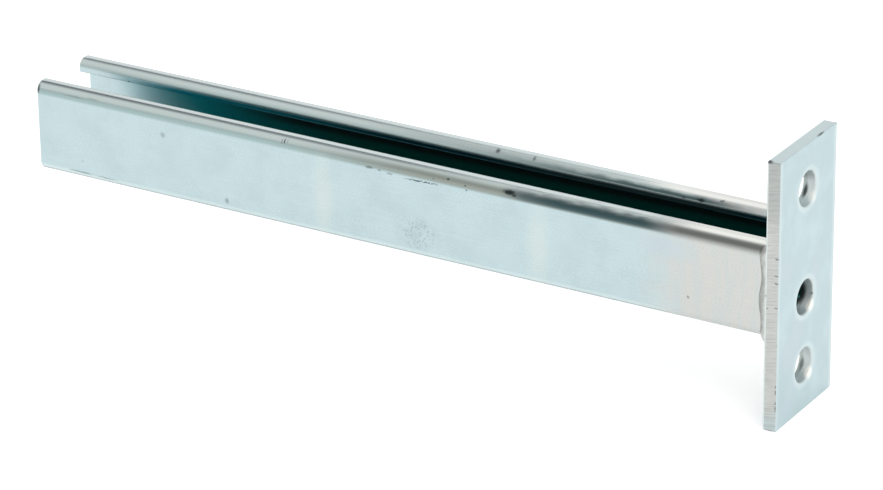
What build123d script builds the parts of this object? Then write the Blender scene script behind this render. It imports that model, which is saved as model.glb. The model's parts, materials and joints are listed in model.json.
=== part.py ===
from build123d import *
import math
import os

# Cantilever bracket: a lipped strut channel welded square to a punched steel wall plate.
# Millimetres. The origin is the centre of the plate's wall face, +X runs out along the arm,
# +Z is up and the channel's slot faces up. Left is +Y, looking out from the wall.

# Roll-formed channel
channel_width = 41.3
channel_height = 41.3
channel_length = 360.0
strip_thickness = 2.0
inner_bend_radius = 2.0
lip_width = 9.5
lip_return = 5.9
slit_edge_radius = 0.6
sawn_edge_break = 0.25

# Wall plate, blanked from sheet with the shear coming down on the arm side
plate_thickness = 6.0
plate_side_margin = 4.35
plate_corner_radius = 0.9
sheared_edge_roll = 0.7
wall_edge_break = 0.25

# Punched holes, with the punch coming in from the wall side
bolt_bore = 15.0
bolt_offset_from_channel = 18.35
bolt_edge_distance = 20.0
middle_bore_web_gap = 2.3
punch_roll = 0.7
punch_land = 3.4
breakout_growth = 0.2

# Fillet weld: one run from the left top bend down, under the web and up to the right top bend
weld_leg_on_channel = 4.25
weld_to_plate_edge = 0.7
weld_crown = 0.35
weld_swell = 0.5
weld_swell_pitch = 20.5
weld_start_on_bend = 2.5
weld_end_round = 4.0
weld_end_share = 0.3
weld_station_pitch = 1.0


# Sizes and places that follow from the ones above
half_width = channel_width / 2
half_height = channel_height / 2
slot_half = half_width - lip_width
lip_edge = half_height - lip_return
outer_bend_radius = inner_bend_radius + strip_thickness
bore_radius = bolt_bore / 2
exit_radius = bore_radius + breakout_growth
bolt_height = half_height + bolt_offset_from_channel
middle_height = -half_height + strip_thickness + middle_bore_web_gap + exit_radius
plate_width = channel_width + 2 * plate_side_margin
plate_height = 2 * (bolt_height + bolt_edge_distance)
weld_leg_on_plate = plate_side_margin - weld_to_plate_edge
weld_root_bite = strip_thickness / 2
across_the_arm = Plane(origin=(plate_thickness, 0, 0), x_dir=(0, 1, 0), z_dir=(1, 0, 0))


def strip_skin(offset, bend_radius):
    """One skin of the formed strip from lip to lip, offset inwards from the outside."""
    right_half = [
        (slot_half + offset, lip_edge),
        (slot_half + offset, half_height - offset),
        (half_width - offset, half_height - offset),
        (half_width - offset, -half_height + offset),
    ]
    left_half = [(-y, z) for y, z in reversed(right_half)]
    return FilletPolyline(*right_half, *left_half, radius=bend_radius)


def channel_section():
    """The C section with inturned lips, as the rolls leave it."""
    outside = strip_skin(0, outer_bend_radius)
    inside = strip_skin(strip_thickness, inner_bend_radius)
    right_edge = Line(outside @ 0, inside @ 0)
    left_edge = Line(outside @ 1, inside @ 1)
    section = make_face([outside, inside, right_edge, left_edge])
    slit_corners = section.vertices().filter_by(lambda corner: abs(corner.Y - lip_edge) < 1e-6)
    return fillet(slit_corners, min(slit_edge_radius, 0.4 * strip_thickness))


def strut_channel():
    """The arm: the section run out from the plate, with its sawn end lightly broken."""
    arm = extrude(across_the_arm * channel_section(), amount=channel_length)
    sawn_edges = arm.faces().sort_by(Axis.X)[-1].edges()
    return chamfer(sawn_edges, sawn_edge_break)


def punched_hole_cutter():
    """Tool for one hole on the X axis: rolled mouth, straight land, then a wider break-out."""
    clear = 1.0
    mouth = bore_radius + punch_roll
    wall = Polyline(
        (punch_roll, bore_radius),
        (punch_roll + punch_land, bore_radius),
        (plate_thickness, exit_radius),
        (plate_thickness + clear, exit_radius),
        (plate_thickness + clear, 0),
        (-clear, 0),
        (-clear, mouth),
        (0, mouth),
    )
    roll = CenterArc((punch_roll, mouth), punch_roll, 180, 90)
    return revolve(make_face([wall, roll]), Axis.X)


def base_plate():
    """The blanked plate with its three punched holes."""
    plate = Box(
        plate_thickness,
        plate_width,
        plate_height,
        align=(Align.MIN, Align.CENTER, Align.CENTER),
    )
    plate = fillet(plate.edges().filter_by(Axis.X), plate_corner_radius)
    plate = fillet(plate.faces().sort_by(Axis.X)[-1].edges(), sheared_edge_roll)
    plate = chamfer(plate.faces().sort_by(Axis.X)[0].edges(), wall_edge_break)
    cutter = punched_hole_cutter()
    for height in (bolt_height, middle_height, -bolt_height):
        plate -= Pos(0, 0, height) * cutter
    return plate


def weld_section(run, share):
    """Bead section at one share of its length: two legs, a crowned face, and a root that bites the steel."""
    bead_length = run.length - 2 * weld_start_on_bend
    gone = share * bead_length
    to_end = min(gone, bead_length - gone)
    entry = min(1.0, to_end / weld_end_round)
    size = weld_end_share + (1 - weld_end_share) * math.sqrt(1 - (1 - entry) ** 2)
    swell = weld_swell * math.cos(2 * math.pi * (gone - weld_end_round) / weld_swell_pitch)
    on_channel = (weld_leg_on_channel + swell) * size
    on_plate = weld_leg_on_plate * size
    crown = weld_crown * size
    legs = Polyline(
        (0, on_channel),
        (-weld_root_bite, on_channel),
        (-weld_root_bite, -weld_root_bite),
        (on_plate, -weld_root_bite),
        (on_plate, 0),
    )
    middle = (on_plate / 2 + crown, on_channel / 2 + crown)
    face = ThreePointArc((on_plate, 0), middle, (0, on_channel))
    along_run = (weld_start_on_bend + gone) / run.length
    tangent = run % along_run
    outward = Vector(1, 0, 0).cross(tangent)
    station = Plane(origin=run @ along_run, x_dir=outward, z_dir=tangent)
    return station * make_face([legs, face])


def weld_bead(channel, plate):
    """The continuous fillet bead, trimmed to the faces that it is melted into."""
    flat_end = half_width - outer_bend_radius - 0.1
    run = across_the_arm * FilletPolyline(
        (flat_end, half_height),
        (half_width, half_height),
        (half_width, -half_height),
        (-half_width, -half_height),
        (-half_width, half_height),
        (-flat_end, half_height),
        radius=outer_bend_radius,
    )
    steps = math.ceil(run.length / weld_station_pitch)
    sections = [weld_section(run, i / steps) for i in range(steps + 1)]
    bead = loft(sections, ruled=True)
    return bead - channel - plate


channel = strut_channel()
plate = base_plate()
pieces = {
    "strut_channel": channel,
    "base_plate": plate,
    "weld_bead": weld_bead(channel, plate),
}

os.makedirs("parts", exist_ok=True)
for node, shape in pieces.items():
    export_step(shape, f"parts/{node}.step")
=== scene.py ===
"""Strut channel bracket in bright zinc: its arm, wall plate and weld, and their stage."""

import itertools
import json
import math

import bmesh
import bpy
import numpy as np
from bpy.props import FloatProperty, FloatVectorProperty, PointerProperty
from bpy.types import Operator, Panel, PropertyGroup
from mathutils import Matrix, Vector
from mathutils.geometry import delaunay_2d_cdt


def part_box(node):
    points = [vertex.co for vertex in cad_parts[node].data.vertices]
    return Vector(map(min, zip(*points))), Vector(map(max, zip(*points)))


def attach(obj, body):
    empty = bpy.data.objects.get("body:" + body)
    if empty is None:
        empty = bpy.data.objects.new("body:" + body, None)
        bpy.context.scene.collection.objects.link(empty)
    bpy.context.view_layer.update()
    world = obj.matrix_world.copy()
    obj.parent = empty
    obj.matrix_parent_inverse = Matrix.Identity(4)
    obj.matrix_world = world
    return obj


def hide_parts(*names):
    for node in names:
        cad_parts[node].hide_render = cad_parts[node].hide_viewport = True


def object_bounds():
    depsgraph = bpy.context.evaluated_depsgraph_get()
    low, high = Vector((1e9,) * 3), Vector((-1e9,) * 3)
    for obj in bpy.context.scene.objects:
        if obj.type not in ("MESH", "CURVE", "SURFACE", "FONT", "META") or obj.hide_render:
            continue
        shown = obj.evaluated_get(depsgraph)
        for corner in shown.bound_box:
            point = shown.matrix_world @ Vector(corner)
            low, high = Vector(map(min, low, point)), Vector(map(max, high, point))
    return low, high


bl_info = {
    "name": "Strut channel bracket",
    "version": (1, 0, 0),
    "blender": (4, 5, 0),
    "location": "3D View > Sidebar > Bracket",
    "description": "Zinc plated strut channel bracket: arm, wall plate, weld and stage",
    "category": "Add Mesh",
}

# The frame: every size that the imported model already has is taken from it
MM = 0.001
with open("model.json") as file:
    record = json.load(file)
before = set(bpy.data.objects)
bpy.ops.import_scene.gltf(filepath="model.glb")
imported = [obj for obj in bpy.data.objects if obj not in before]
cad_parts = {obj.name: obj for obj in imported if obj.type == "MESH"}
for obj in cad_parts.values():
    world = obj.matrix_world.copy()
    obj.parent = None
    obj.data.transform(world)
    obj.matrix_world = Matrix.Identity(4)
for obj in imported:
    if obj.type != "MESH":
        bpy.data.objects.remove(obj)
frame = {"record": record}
CAD_LOW, CAD_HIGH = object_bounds()
ARM_LOW, ARM_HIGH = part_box("strut_channel")
PLATE_LOW, PLATE_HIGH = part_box("base_plate")
MOUNTS = {mount["name"]: mount for mount in frame["record"]["mounts"]}
BOLT_HEIGHT = MOUNTS["wall_bolts"]["dims"]["spacing_y_mm"] * MM / 2
MIDDLE_HEIGHT = MOUNTS["middle_bolt"]["pos_m"][2]
BORE_RADIUS = MOUNTS["middle_bolt"]["dims"]["r_mm"] * MM
HOLE_HEIGHTS = (BOLT_HEIGHT, MIDDLE_HEIGHT, -BOLT_HEIGHT)

# The photograph's frame, in pixels, and the focal length that fits it
PHOTO_WIDTH = 883
PHOTO_FOCAL = 4284.3
SENSOR_WIDTH = 36.0

# How the meshes are made
QUARTER_TURN = np.radians((0, 30, 60, 90))
NOISE_TABLE = 8192
HASH_PRIMES = (73856093, 19349663, 83492791)
SEAM_WELD = 0.003 * MM
SHARP_ANGLE = math.radians(38)
HOLE_POINTS = 80
RING_POINTS = 60
RING_GAPS = (0.6 * MM, 1.3 * MM, 2.2 * MM, 3.3 * MM)
TEAR_PITCH = 1.3 * MM
BLANK_SAG = 0.06 * MM
BLANK_SAG_PITCH = 24 * MM
BLANK_SAG_MARGIN = 6 * MM
BEAD_FACE_POINTS = 15
RIPPLE_LEAD = 0.9
RIPPLE_WANDER = 0.35
RIPPLE_WANDER_PITCH = 4 * MM

# The studio, in metres and watts, with places given from the bracket's middle
CAMERA_CLIP = (0.05, 50.0)
CARD_PLACE = Vector((0.86, -0.65, 0.94))
CARD_SIZE = 0.5
KEY_PLACE = Vector((-1.2, 1.0, 1.6))
KEY_SIZE = 1.2
KEY_POWER = 9.0
FLOOR_GLOW = 0.36

# Marks of handling on the arm: name, centre in mm, half length and half height in mm, and how dark
ARM_MARKS = (
    ("left pen tick", (238.2, 20.3, 18.5), (0.3, 0.9), 0.5),
    ("dark pen tick", (236.9, 20.3, 18.7), (0.35, 1.0), 0.8),
    ("right pen tick", (235.5, 20.2, 18.9), (0.25, 0.8), 0.3),
    ("rub below the bend", (194.5, 20.6, 15.7), (1.6, 0.7), 0.5),
    ("rub after it", (189.5, 20.6, 15.4), (0.8, 0.4), 0.5),
    ("end of the rub", (184.5, 20.5, 14.9), (1.3, 0.4), 0.45),
    ("pit on the bend", (156.0, 20.4, 18.2), (0.5, 0.5), 0.85),
    ("fleck left of the pit", (163.0, 20.6, 17.0), (0.45, 0.3), 0.4),
    ("upper fleck", (147.6, 20.6, 17.0), (0.4, 0.35), 0.8),
    ("lower fleck", (147.0, 20.3, 15.1), (0.45, 0.4), 0.75),
    ("gouge", (126.6, 20.3, 18.3), (2.6, 0.9), 0.97),
    ("gouge tail", (124.4, 20.5, 17.5), (1.2, 0.5), 0.8),
    ("spot near the end", (299.6, 20.6, 9.2), (1.1, 1.1), 0.3),
    ("low spot", (267.3, 20.6, -15.0), (0.9, 1.2), 0.38),
    ("speck by the low corner", (343.3, 20.6, -12.0), (0.5, 0.4), 0.25),
    ("spot near the plate", (42.8, 20.6, -10.0), (0.5, 0.6), 0.5),
    ("burr at the sawn corner", (365.6, 20.3, 18.0), (0.8, 1.9), 0.8),
    ("first scuff on the bend", (346.0, 20.5, 17.7), (5.0, 0.35), 0.22),
    ("second scuff on the bend", (336.5, 20.3, 18.3), (3.0, 0.3), 0.22),
    ("first scuff under the side", (344.0, 20.5, -17.4), (5.5, 0.35), 0.5),
    ("second scuff under the side", (331.0, 20.4, -17.6), (5.5, 0.3), 0.42),
    ("first spot on the far lip", (151.3, -12.7, 19.9), (0.9, 0.7), 0.7),
    ("second spot on the far lip", (133.8, -12.7, 19.8), (0.7, 0.6), 0.6),
    ("first blot on the far lip", (62.2, -11.4, 17.9), (1.0, 0.45), 0.6),
    ("second blot on the far lip", (54.2, -11.5, 18.2), (1.7, 0.6), 0.92),
    ("third blot on the far lip", (44.9, -12.2, 19.4), (1.0, 0.4), 0.6),
    ("dot under the far lip", (339.2, -11.5, 15.0), (0.5, 0.5), 0.9),
)

# Marks on the plate: name, centre in mm, half sizes in mm, and how dark
PLATE_MARKS = (
    ("first shear nick", (0.8, 25, 17.5), (0.8, 1, 0.35), 0.65),
    ("second shear nick", (0.9, 25, 10.1), (0.9, 1, 0.3), 0.6),
    ("third shear nick", (0.9, 25, 6.8), (0.8, 1, 0.35), 0.65),
    ("fourth shear nick", (0.8, 25, -3.9), (0.7, 1, 0.3), 0.55),
    ("pit by the weld", (5.8, 24.8, 0.6), (0.4, 0.6, 0.6), 0.7),
    ("pit on the side", (4.7, 25, -4.7), (0.35, 0.5, 0.35), 0.6),
    ("burr at the top corner", (5.2, 24.7, 58.7), (1.4, 1.0, 0.8), 0.8),
    ("dent on the top edge", (0.2, -10.5, 58.9), (0.5, 2.6, 0.5), 0.75),
    ("dot on the far corner", (0.3, -24.4, 58.7), (0.7, 0.7, 0.6), 0.6),
    ("smut under the side", (3.0, 24.6, -58.9), (2.6, 0.8, 0.5), 0.6),
    # The three marks in the holes are painted shade in the torn exits, over darker torn steel in
    # the top and bottom holes
    ("torn steel and painted shade in the top hole", (4.4, -6.3, 34.8), (0.9, 2.4, 3.0), 0.9),
    ("painted shade in the middle hole", (5.6, -6.6, -10.4), (1.8, 3.4, 4.6), 0.95),
    ("torn steel and painted shade in the bottom hole", (4.4, -6.5, -42.0), (0.9, 2.4, 2.6), 0.6),
    ("pit in the middle hole", (0.9, -7.5, -10.0), (0.5, 0.8, 0.6), 0.5),
)


def linear(hex_colour):
    """An sRGB hex colour as linear RGBA, as sockets and colour properties take it."""
    parts = [int(hex_colour[i : i + 2], 16) / 255 for i in (1, 3, 5)]
    return [p / 12.92 if p <= 0.04045 else ((p + 0.055) / 1.055) ** 2.4 for p in parts] + [1.0]


def measure(name, description, millimetres):
    """A length that a user can change."""
    size = millimetres * MM
    return FloatProperty(name=name, description=description, default=size, unit="LENGTH")


def tone(name, description, hex_colour):
    """A colour that a user can change."""
    return FloatVectorProperty(
        name=name, description=description, default=linear(hex_colour), subtype="COLOR", size=4
    )


class ChannelForm(PropertyGroup):
    """Sizes of the roll-formed arm."""

    strip_thickness: measure("Strip thickness", "Steel strip the arm is rolled from", 2.0)
    inner_bend: measure("Inner bend", "Radius inside each rolled bend", 2.0)
    lip_width: measure("Lip width", "Each lip from the side to the slot", 9.5)
    lip_return: measure("Lip return", "How far each lip turns down", 5.9)
    slit_edge: measure("Slit edge", "Round on the slit strip edges", 0.6)
    sawn_break: measure("Sawn edge break", "Broken edge at the sawn end", 0.25)
    mesh_pitch: measure("Mesh pitch", "Spacing of the mesh on the flats", 2.0)
    waviness: measure("Waviness", "How far the rolled flats dip", 0.05)
    waviness_pitch: measure("Waviness pitch", "Distance between dips", 34.0)


class PlateForm(PropertyGroup):
    """Sizes of the blanked wall plate and its punched holes."""

    corner_radius: measure("Corner radius", "Round on the four upright corners", 0.9)
    edge_roll: measure("Edge roll", "Rolled-over edge on the arm side", 0.7)
    wall_break: measure("Wall edge break", "Broken edge on the wall side", 0.25)
    punch_roll: measure("Punch roll", "Rolled mouth of each hole", 0.7)
    punch_land: measure("Punch land", "Straight length of each bore", 3.4)
    breakout_growth: measure("Break-out growth", "How much wider the torn exit is", 0.2)
    breakout_tear: measure("Break-out tear", "Depth of the torn grain in the exit", 0.12)
    draw_in: measure("Draw-in", "Dish that the punch leaves round a hole", 0.14)
    draw_in_width: measure("Draw-in width", "Width of that dish past the mouth", 2.4)
    shear_depth: measure("Shear depth", "Depth of the shear's lines", 0.05)
    shear_pitch: measure("Shear pitch", "Spacing of the shear's lines", 0.8)
    mesh_pitch: measure("Mesh pitch", "Spacing of the mesh on the faces", 2.0)


class WeldForm(PropertyGroup):
    """Sizes of the fillet bead."""

    leg_on_channel: measure("Leg on arm", "How far the bead reaches along the arm", 4.25)
    to_plate_edge: measure("To plate edge", "Bare plate left beside the bead", 0.7)
    crown: measure("Crown", "How far the bead's face bulges", 0.35)
    swell: measure("Swell", "How much the bead swells and narrows", 0.5)
    swell_pitch: measure("Swell pitch", "Distance between swells", 20.5)
    start_on_bend: measure("Start on bend", "How far round the top bend each end lies", 2.5)
    end_round: measure("End round", "Length over which the bead starts", 4.0)
    end_share: FloatProperty(
        name="End share",
        description="Share of the full size at an end",
        default=0.3, min=0.0, max=1.0,
    )
    bite: measure("Bite", "How deep the bead sits in the steel", 0.2)
    ripple_pitch: measure("Ripple pitch", "Distance between the bead's ripples", 1.7)
    ripple_depth: measure("Ripple depth", "Depth of the bead's ripples", 0.07)
    mesh_pitch: measure("Mesh pitch", "Spacing of the stations along the bead", 0.4)


class FinishColours(PropertyGroup):
    """Colours of the zinc, of what marks it, and of the light and shade painted on it."""

    zinc: tone("Zinc", "Bright zinc, clear blue passivate", "#B9CCD0")
    cloud: tone("Cloud", "Duller cloud in the plating", "#B2C5C9")
    mauve: tone("Mauve cloud", "Cloud where the passivate turns", "#B7C6CD")
    pale: tone("Pale edge and highlight", "Thicker plating at rims and edges, and painted highlights", "#DCE8E8")
    bend_reflection: tone("Bend reflection", "Painted warm reflection on the upper bends", "#C6D2CF")
    bend_shade: tone("Bend shade", "Painted greenish shade low on the bends", "#94AAAA")
    darker_band: tone("Darker bend band", "Darker band below the near bend's top", "#8F9690")
    dressed: tone("Dressed steel", "Plating over dressed steel", "#C5C6C3")
    painted_highlight: tone("Top highlight", "Painted highlight on the lip tops and in the hole mouths", "#FBFBF6")
    inside: tone("Inside", "Painted teal shade in the arm", "#148A90")
    depths: tone("Depths", "Painted dark shade deep in the arm", "#0E6A62")
    lip_face: tone("Lip face", "Painted blue shade on the slot side of the lips", "#0F8290")
    lip_depths_shade: tone("Lip depths", "Painted shade on the slot side of the lips, deep in the arm", "#08303C")
    slit_edge: tone("Slit edge", "Painted highlight along the lips' slit edges", "#6FA6B4")
    slate: tone("Slate", "Grey-blue top of the stain", "#747E82")
    dark_reflection: tone("Stain", "Painted dark reflection on the bends", "#3A5053")
    soot_and_shadow: tone("Soot", "Dark specks, ticks and scratches, and painted shadow", "#2A3232")
    smear: tone("Smear", "Pale dried rinse water", "#D6DAD4")
    sheared: tone("Sheared edge", "Plating over sheared steel", "#BDC0BD")
    punched: tone("Punched wall", "Plating down the punched holes", "#D8DFDF")
    torn: tone("Torn steel", "Thin plating on the torn exits", "#C2CCCA")
    weld: tone("Weld", "Plating over the bead", "#ABACA9")
    toe: tone("Weld toe", "Dull grey: shear lines, painted shade at the bead's toe and painted dark reflection on the near bend", "#6F716E")
    floor: tone("Floor", "Plain pale studio floor", "#F4F4F4")


class StudioForm(PropertyGroup):
    """The camera's place and the studio round the bracket."""

    azimuth: FloatProperty(
        name="Azimuth",
        description="Camera round the bracket",
        default=math.radians(211.360), subtype="ANGLE",
    )
    elevation: FloatProperty(
        name="Elevation",
        description="Camera above the horizon",
        default=math.radians(23.816), subtype="ANGLE",
    )
    roll: FloatProperty(
        name="Roll",
        description="Camera tilted in its own plane",
        default=math.radians(-0.760), subtype="ANGLE",
    )
    distance: measure("Distance", "Camera to the point aimed at", 1744.3)
    aim: FloatVectorProperty(
        name="Aim",
        description="Point on the camera's axis",
        default=(136.51 * MM, 58.21 * MM, 7.13 * MM),
        subtype="TRANSLATION",
        size=3,
    )
    tent_light: FloatProperty(
        name="Tent light",
        description="Brightness of the white tent all round",
        default=0.92, min=0.0,
    )
    floor_size: FloatProperty(
        name="Floor size", description="Side of the square floor", default=12.0, unit="LENGTH"
    )


def add_node(tree, kind, inputs=None, **settings):
    """Adds a node, sets it up, and gives each named input a value or a socket to read."""
    node = tree.nodes.new(kind)
    for name, value in settings.items():
        setattr(node, name, value)
    for key, value in (inputs or {}).items():
        if isinstance(value, bpy.types.NodeSocket):
            tree.links.new(value, node.inputs[key])
        else:
            node.inputs[key].default_value = value
    return node


def lattice_noise(points, cell, seed):
    """Smooth values from -1 to 1 that change over one cell, the same on every run."""
    table = np.random.default_rng(seed).uniform(-1, 1, NOISE_TABLE)
    grid = np.asarray(points) / cell
    base = np.floor(grid).astype(np.int64)
    part = grid - base
    part = part * part * (3 - 2 * part)
    total = np.zeros(len(grid))
    for corner in itertools.product((0, 1), repeat=grid.shape[1]):
        at = base + corner
        mixed = at[:, 0] * HASH_PRIMES[0]
        for axis in range(1, grid.shape[1]):
            mixed = mixed ^ (at[:, axis] * HASH_PRIMES[axis])
        weight = np.prod(np.where(corner, part, 1 - part), axis=1)
        total += table[mixed % len(table)] * weight
    return total


def rounded_path(corners, radii, splits, arc_steps=8):
    """Complex points along runs with rounded corners, and 1 for each point that is on a round."""
    points, on_round = [], []
    start = corners[0]
    bends = zip(corners, corners[1:], corners[2:], radii, splits)
    for before, corner, after, radius, count in bends:
        into = (corner - before) / abs(corner - before)
        turn = np.angle((after - corner) / abs(after - corner) / into)
        trim = radius * math.tan(abs(turn) / 2)
        arc_start = corner - into * trim
        centre = arc_start + 1j * math.copysign(radius, turn) * into
        points += list(np.linspace(start, arc_start, count, endpoint=False))
        on_round += [0.0] * count
        angles = turn * np.arange(arc_steps) / arc_steps
        points += list(centre + (arc_start - centre) * np.exp(1j * angles))
        on_round += [0.0] + [1.0] * (arc_steps - 1)
        start = centre + (arc_start - centre) * np.exp(1j * turn)
    points += list(np.linspace(start, corners[-1], splits[-1] + 1))
    on_round += [0.0] * (splits[-1] + 1)
    return np.array(points), np.array(on_round)


def outward_normals(loop):
    """Unit outward normals of a closed loop of complex points."""
    tangents = np.roll(loop, -1) - np.roll(loop, 1)
    area = (np.roll(loop, -1) * loop.conj()).imag.sum()
    return -1j * math.copysign(1, area) * tangents / abs(tangents)


def quad_rows(rows, columns, closed=True):
    """Faces between consecutive rows of points."""
    index = np.arange(rows * columns).reshape(rows, columns)
    after = np.roll(index, -1, axis=1)
    last = columns if closed else columns - 1
    quads = np.stack((index[:-1], index[1:], after[1:], after[:-1]), axis=-1)[:, :last]
    return quads.reshape(-1, 4)


def finished_piece(name, vertices, faces, material, stands_for, fields):
    """Makes a closed mesh object, which rides on the bracket in place of a CAD node."""
    mesh = bpy.data.meshes.new(name)
    mesh.from_pydata([tuple(v) for v in vertices], [], [list(map(int, f)) for f in faces])
    for label, values in fields.items():
        values = np.asarray(values, np.float32)
        kind, part = ("FLOAT", "value") if values.ndim == 1 else ("FLOAT_VECTOR", "vector")
        mesh.attributes.new(label, kind, "POINT").data.foreach_set(part, values.ravel())
    shape = bmesh.new()
    shape.from_mesh(mesh)
    bmesh.ops.remove_doubles(shape, verts=shape.verts, dist=SEAM_WELD)
    bmesh.ops.recalc_face_normals(shape, faces=shape.faces)
    open_edges = [edge for edge in shape.edges if len(edge.link_faces) != 2]
    if open_edges:
        first = open_edges[0].verts[0].co
        raise RuntimeError(f"{name} has {len(open_edges)} open edges, first at {first}")
    shape.to_mesh(mesh)
    shape.free()
    mesh.shade_smooth()
    mesh.set_sharp_from_angle(angle=SHARP_ANGLE)
    mesh.materials.append(material)
    piece = bpy.data.objects.new(name, mesh)
    bpy.context.scene.collection.objects.link(piece)
    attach(piece, "root")
    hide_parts(stands_for)


def strip_skins(form):
    """Outer and inner skins of the arm's section, and which of their points are on a bend."""
    half_width, half_height = ARM_HIGH.y, ARM_HIGH.z
    slot_half = half_width - form.lip_width
    lip_edge = half_height - form.lip_return
    thick = form.strip_thickness
    outer_bend = form.inner_bend + thick
    middle = complex(slot_half + thick / 2, lip_edge)

    def half_loop(offset, bend):
        tip = slot_half if offset == 0 else slot_half + thick
        right = [
            middle,
            complex(tip, lip_edge),
            complex(tip, half_height - offset),
            complex(half_width - offset, half_height - offset),
            complex(half_width - offset, -half_height + offset),
        ]
        left = [-corner.conjugate() for corner in reversed(right)]
        radii = [form.slit_edge, bend, bend, bend]
        return right + left, radii + radii[::-1]

    corners, radii = half_loop(0, outer_bend)
    runs = np.abs(np.diff(corners))
    splits = [max(1, round(run / form.mesh_pitch)) for run in runs]
    outer, on_round = rounded_path(corners, radii, splits)
    corners, radii = half_loop(thick, form.inner_bend)
    inner, _ = rounded_path(corners, radii, splits)
    return outer, inner, on_round


def arm_mesh(form):
    """Points, faces and fields of the arm: rings along it, and a sawn cap at each end."""
    outer, inner, on_round = strip_skins(form)
    loop = np.concatenate((outer, inner[-2:0:-1]))
    normals = outward_normals(loop)
    pairs = len(outer)
    length = ARM_HIGH.x - ARM_LOW.x
    steps = round(length / form.mesh_pitch)
    edge = form.sawn_break
    turn = QUARTER_TURN[1:]
    flats = np.linspace(ARM_LOW.x, ARM_HIGH.x - edge, steps)
    along = np.concatenate((flats, ARM_HIGH.x - edge * (1 - np.sin(turn))))
    inset = np.concatenate((np.zeros(steps), edge * (1 - np.cos(turn))))
    middle_skin = (outer + inner) / 2
    round_way = np.concatenate(([0], np.cumsum(np.abs(np.diff(middle_skin)))))
    round_way -= round_way[-1] / 2
    round_way = np.concatenate((round_way, round_way[-2:0:-1]))
    inside = np.concatenate((np.zeros(pairs), np.ones(pairs - 2)))
    inside[[0, pairs - 1]] = 0.5
    bend = np.concatenate((on_round, on_round[-2:0:-1]))

    # Both skins dip together, as sheet does: the dip follows the outer skin's normal
    dip_way = np.concatenate((normals[:pairs], normals[pairs - 2 : 0 : -1]))
    rings, strip = [], []
    for x, gone in zip(along, inset):
        place = np.stack((np.full(len(loop), x), round_way), axis=1)
        dip = form.waviness * (0.5 + 0.5 * lattice_noise(place, form.waviness_pitch, seed=11))
        small = lattice_noise(place, form.waviness_pitch / 3, seed=12)
        dip += 0.3 * form.waviness * (0.5 + 0.5 * small)
        fade = min(1.0, (ARM_HIGH.x - x) / (10 * MM) + 0.2)
        ring = loop - normals * gone - dip_way * dip * fade
        rings.append(np.stack((np.full(len(loop), x), ring.real, ring.imag), axis=1))
        strip.append(np.stack((np.full(len(loop), x), round_way, inside * MM), axis=1))
    vertices = np.concatenate(rings)
    faces = list(quad_rows(len(rings), len(loop)))

    # Each end is closed by rows from the outer skin across to the inner one
    across = np.linspace(0, 1, 4)[:, None, None]
    caps = []
    for ring in (rings[0], rings[-1]):
        far_side = np.concatenate((ring[:1], ring[: pairs - 1 : -1], ring[pairs - 1 : pairs]))
        rows = ring[:pairs] * (1 - across) + far_side * across
        faces += list(quad_rows(4, pairs, closed=False) + len(vertices) + sum(map(len, caps)))
        caps.append(rows.reshape(-1, 3))
    vertices = np.concatenate([vertices] + caps)
    extra = sum(map(len, caps))
    cap_strip = np.concatenate(caps)
    fields = {
        "strip": np.concatenate(strip + [cap_strip * (1, 1, 0)]),
        "bend": np.concatenate((np.tile(bend, len(rings)), np.zeros(extra))),
        "inside": np.concatenate((np.tile(inside, len(rings)), np.zeros(extra))),
    }
    return vertices, faces, fields


def plate_outline(form, pitch):
    """The plate's outline as a closed loop of complex points."""
    half_width, half_height, radius = PLATE_HIGH.y, PLATE_HIGH.z, form.corner_radius
    corners = [
        complex(0, -half_height),
        complex(half_width, -half_height),
        complex(half_width, half_height),
        complex(-half_width, half_height),
        complex(-half_width, -half_height),
        complex(0, -half_height),
    ]
    splits = [round(run / pitch) for run in np.abs(np.diff(corners))]
    loop, _ = rounded_path(corners, [radius] * 4, splits, arc_steps=6)
    return loop[:-1]


def shear_lines(loop, form):
    """How deep the shear's lines cut along the outline: strong on the long sides only."""
    place = np.stack((loop.real, loop.imag), axis=1)
    lines = sum(
        share * (0.5 + 0.5 * lattice_noise(place, form.shear_pitch * size, seed=seed))
        for share, size, seed in ((0.5, 1.0, 21), (0.3, 0.45, 22), (0.2, 3.5, 23))
    )
    to_long_side = abs(loop.real) - PLATE_HIGH.y + 2 * form.corner_radius
    on_long_side = np.clip(to_long_side / form.corner_radius, 0, 1)
    return form.shear_depth * lines * (0.25 + 0.75 * on_long_side)


def face_triangles(loop, holes, pitch, height_of):
    """A flat face inside the loop with round holes left out, cut into even triangles."""
    centres = [complex(0, z) for z in HOLE_HEIGHTS]
    clear = 0.6 * pitch
    rows = np.arange(PLATE_LOW.z + pitch, PLATE_HIGH.z - pitch / 2, pitch)
    columns = np.arange(PLATE_LOW.y + pitch, PLATE_HIGH.y - pitch / 2, pitch)
    radius = abs(holes[0][0] - centres[0])
    filler = [complex(y, z) for z in rows for y in columns]
    widest = radius + RING_GAPS[-1] + clear
    filler = [p for p in filler if min(abs(p - c) for c in centres) > widest]
    turns = [np.exp(2j * np.pi * step / RING_POINTS) for step in range(RING_POINTS)]
    for gap in RING_GAPS:
        filler += [c + (radius + gap) * turn for c in centres for turn in turns]
    points, edges = [], []
    for ring in [loop] + holes:
        first = len(points)
        count = len(ring)
        points += list(ring)
        edges += [(first + i, first + (i + 1) % count) for i in range(count)]
    points += filler
    flat = [Vector((p.real, p.imag)) for p in points]
    corners, _, faces, _, _, _ = delaunay_2d_cdt(flat, edges, [], 1, 1e-9)
    corners = np.array([complex(c.x, c.y) for c in corners])
    middles = [corners[list(face)].mean() for face in faces]
    outside = [min(abs(middle - c) for c in centres) > radius * 0.999 for middle in middles]
    kept = list(itertools.compress(faces, outside))
    vertices = np.stack((np.full(len(corners), height_of), corners.real, corners.imag), axis=1)
    return vertices, kept


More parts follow.
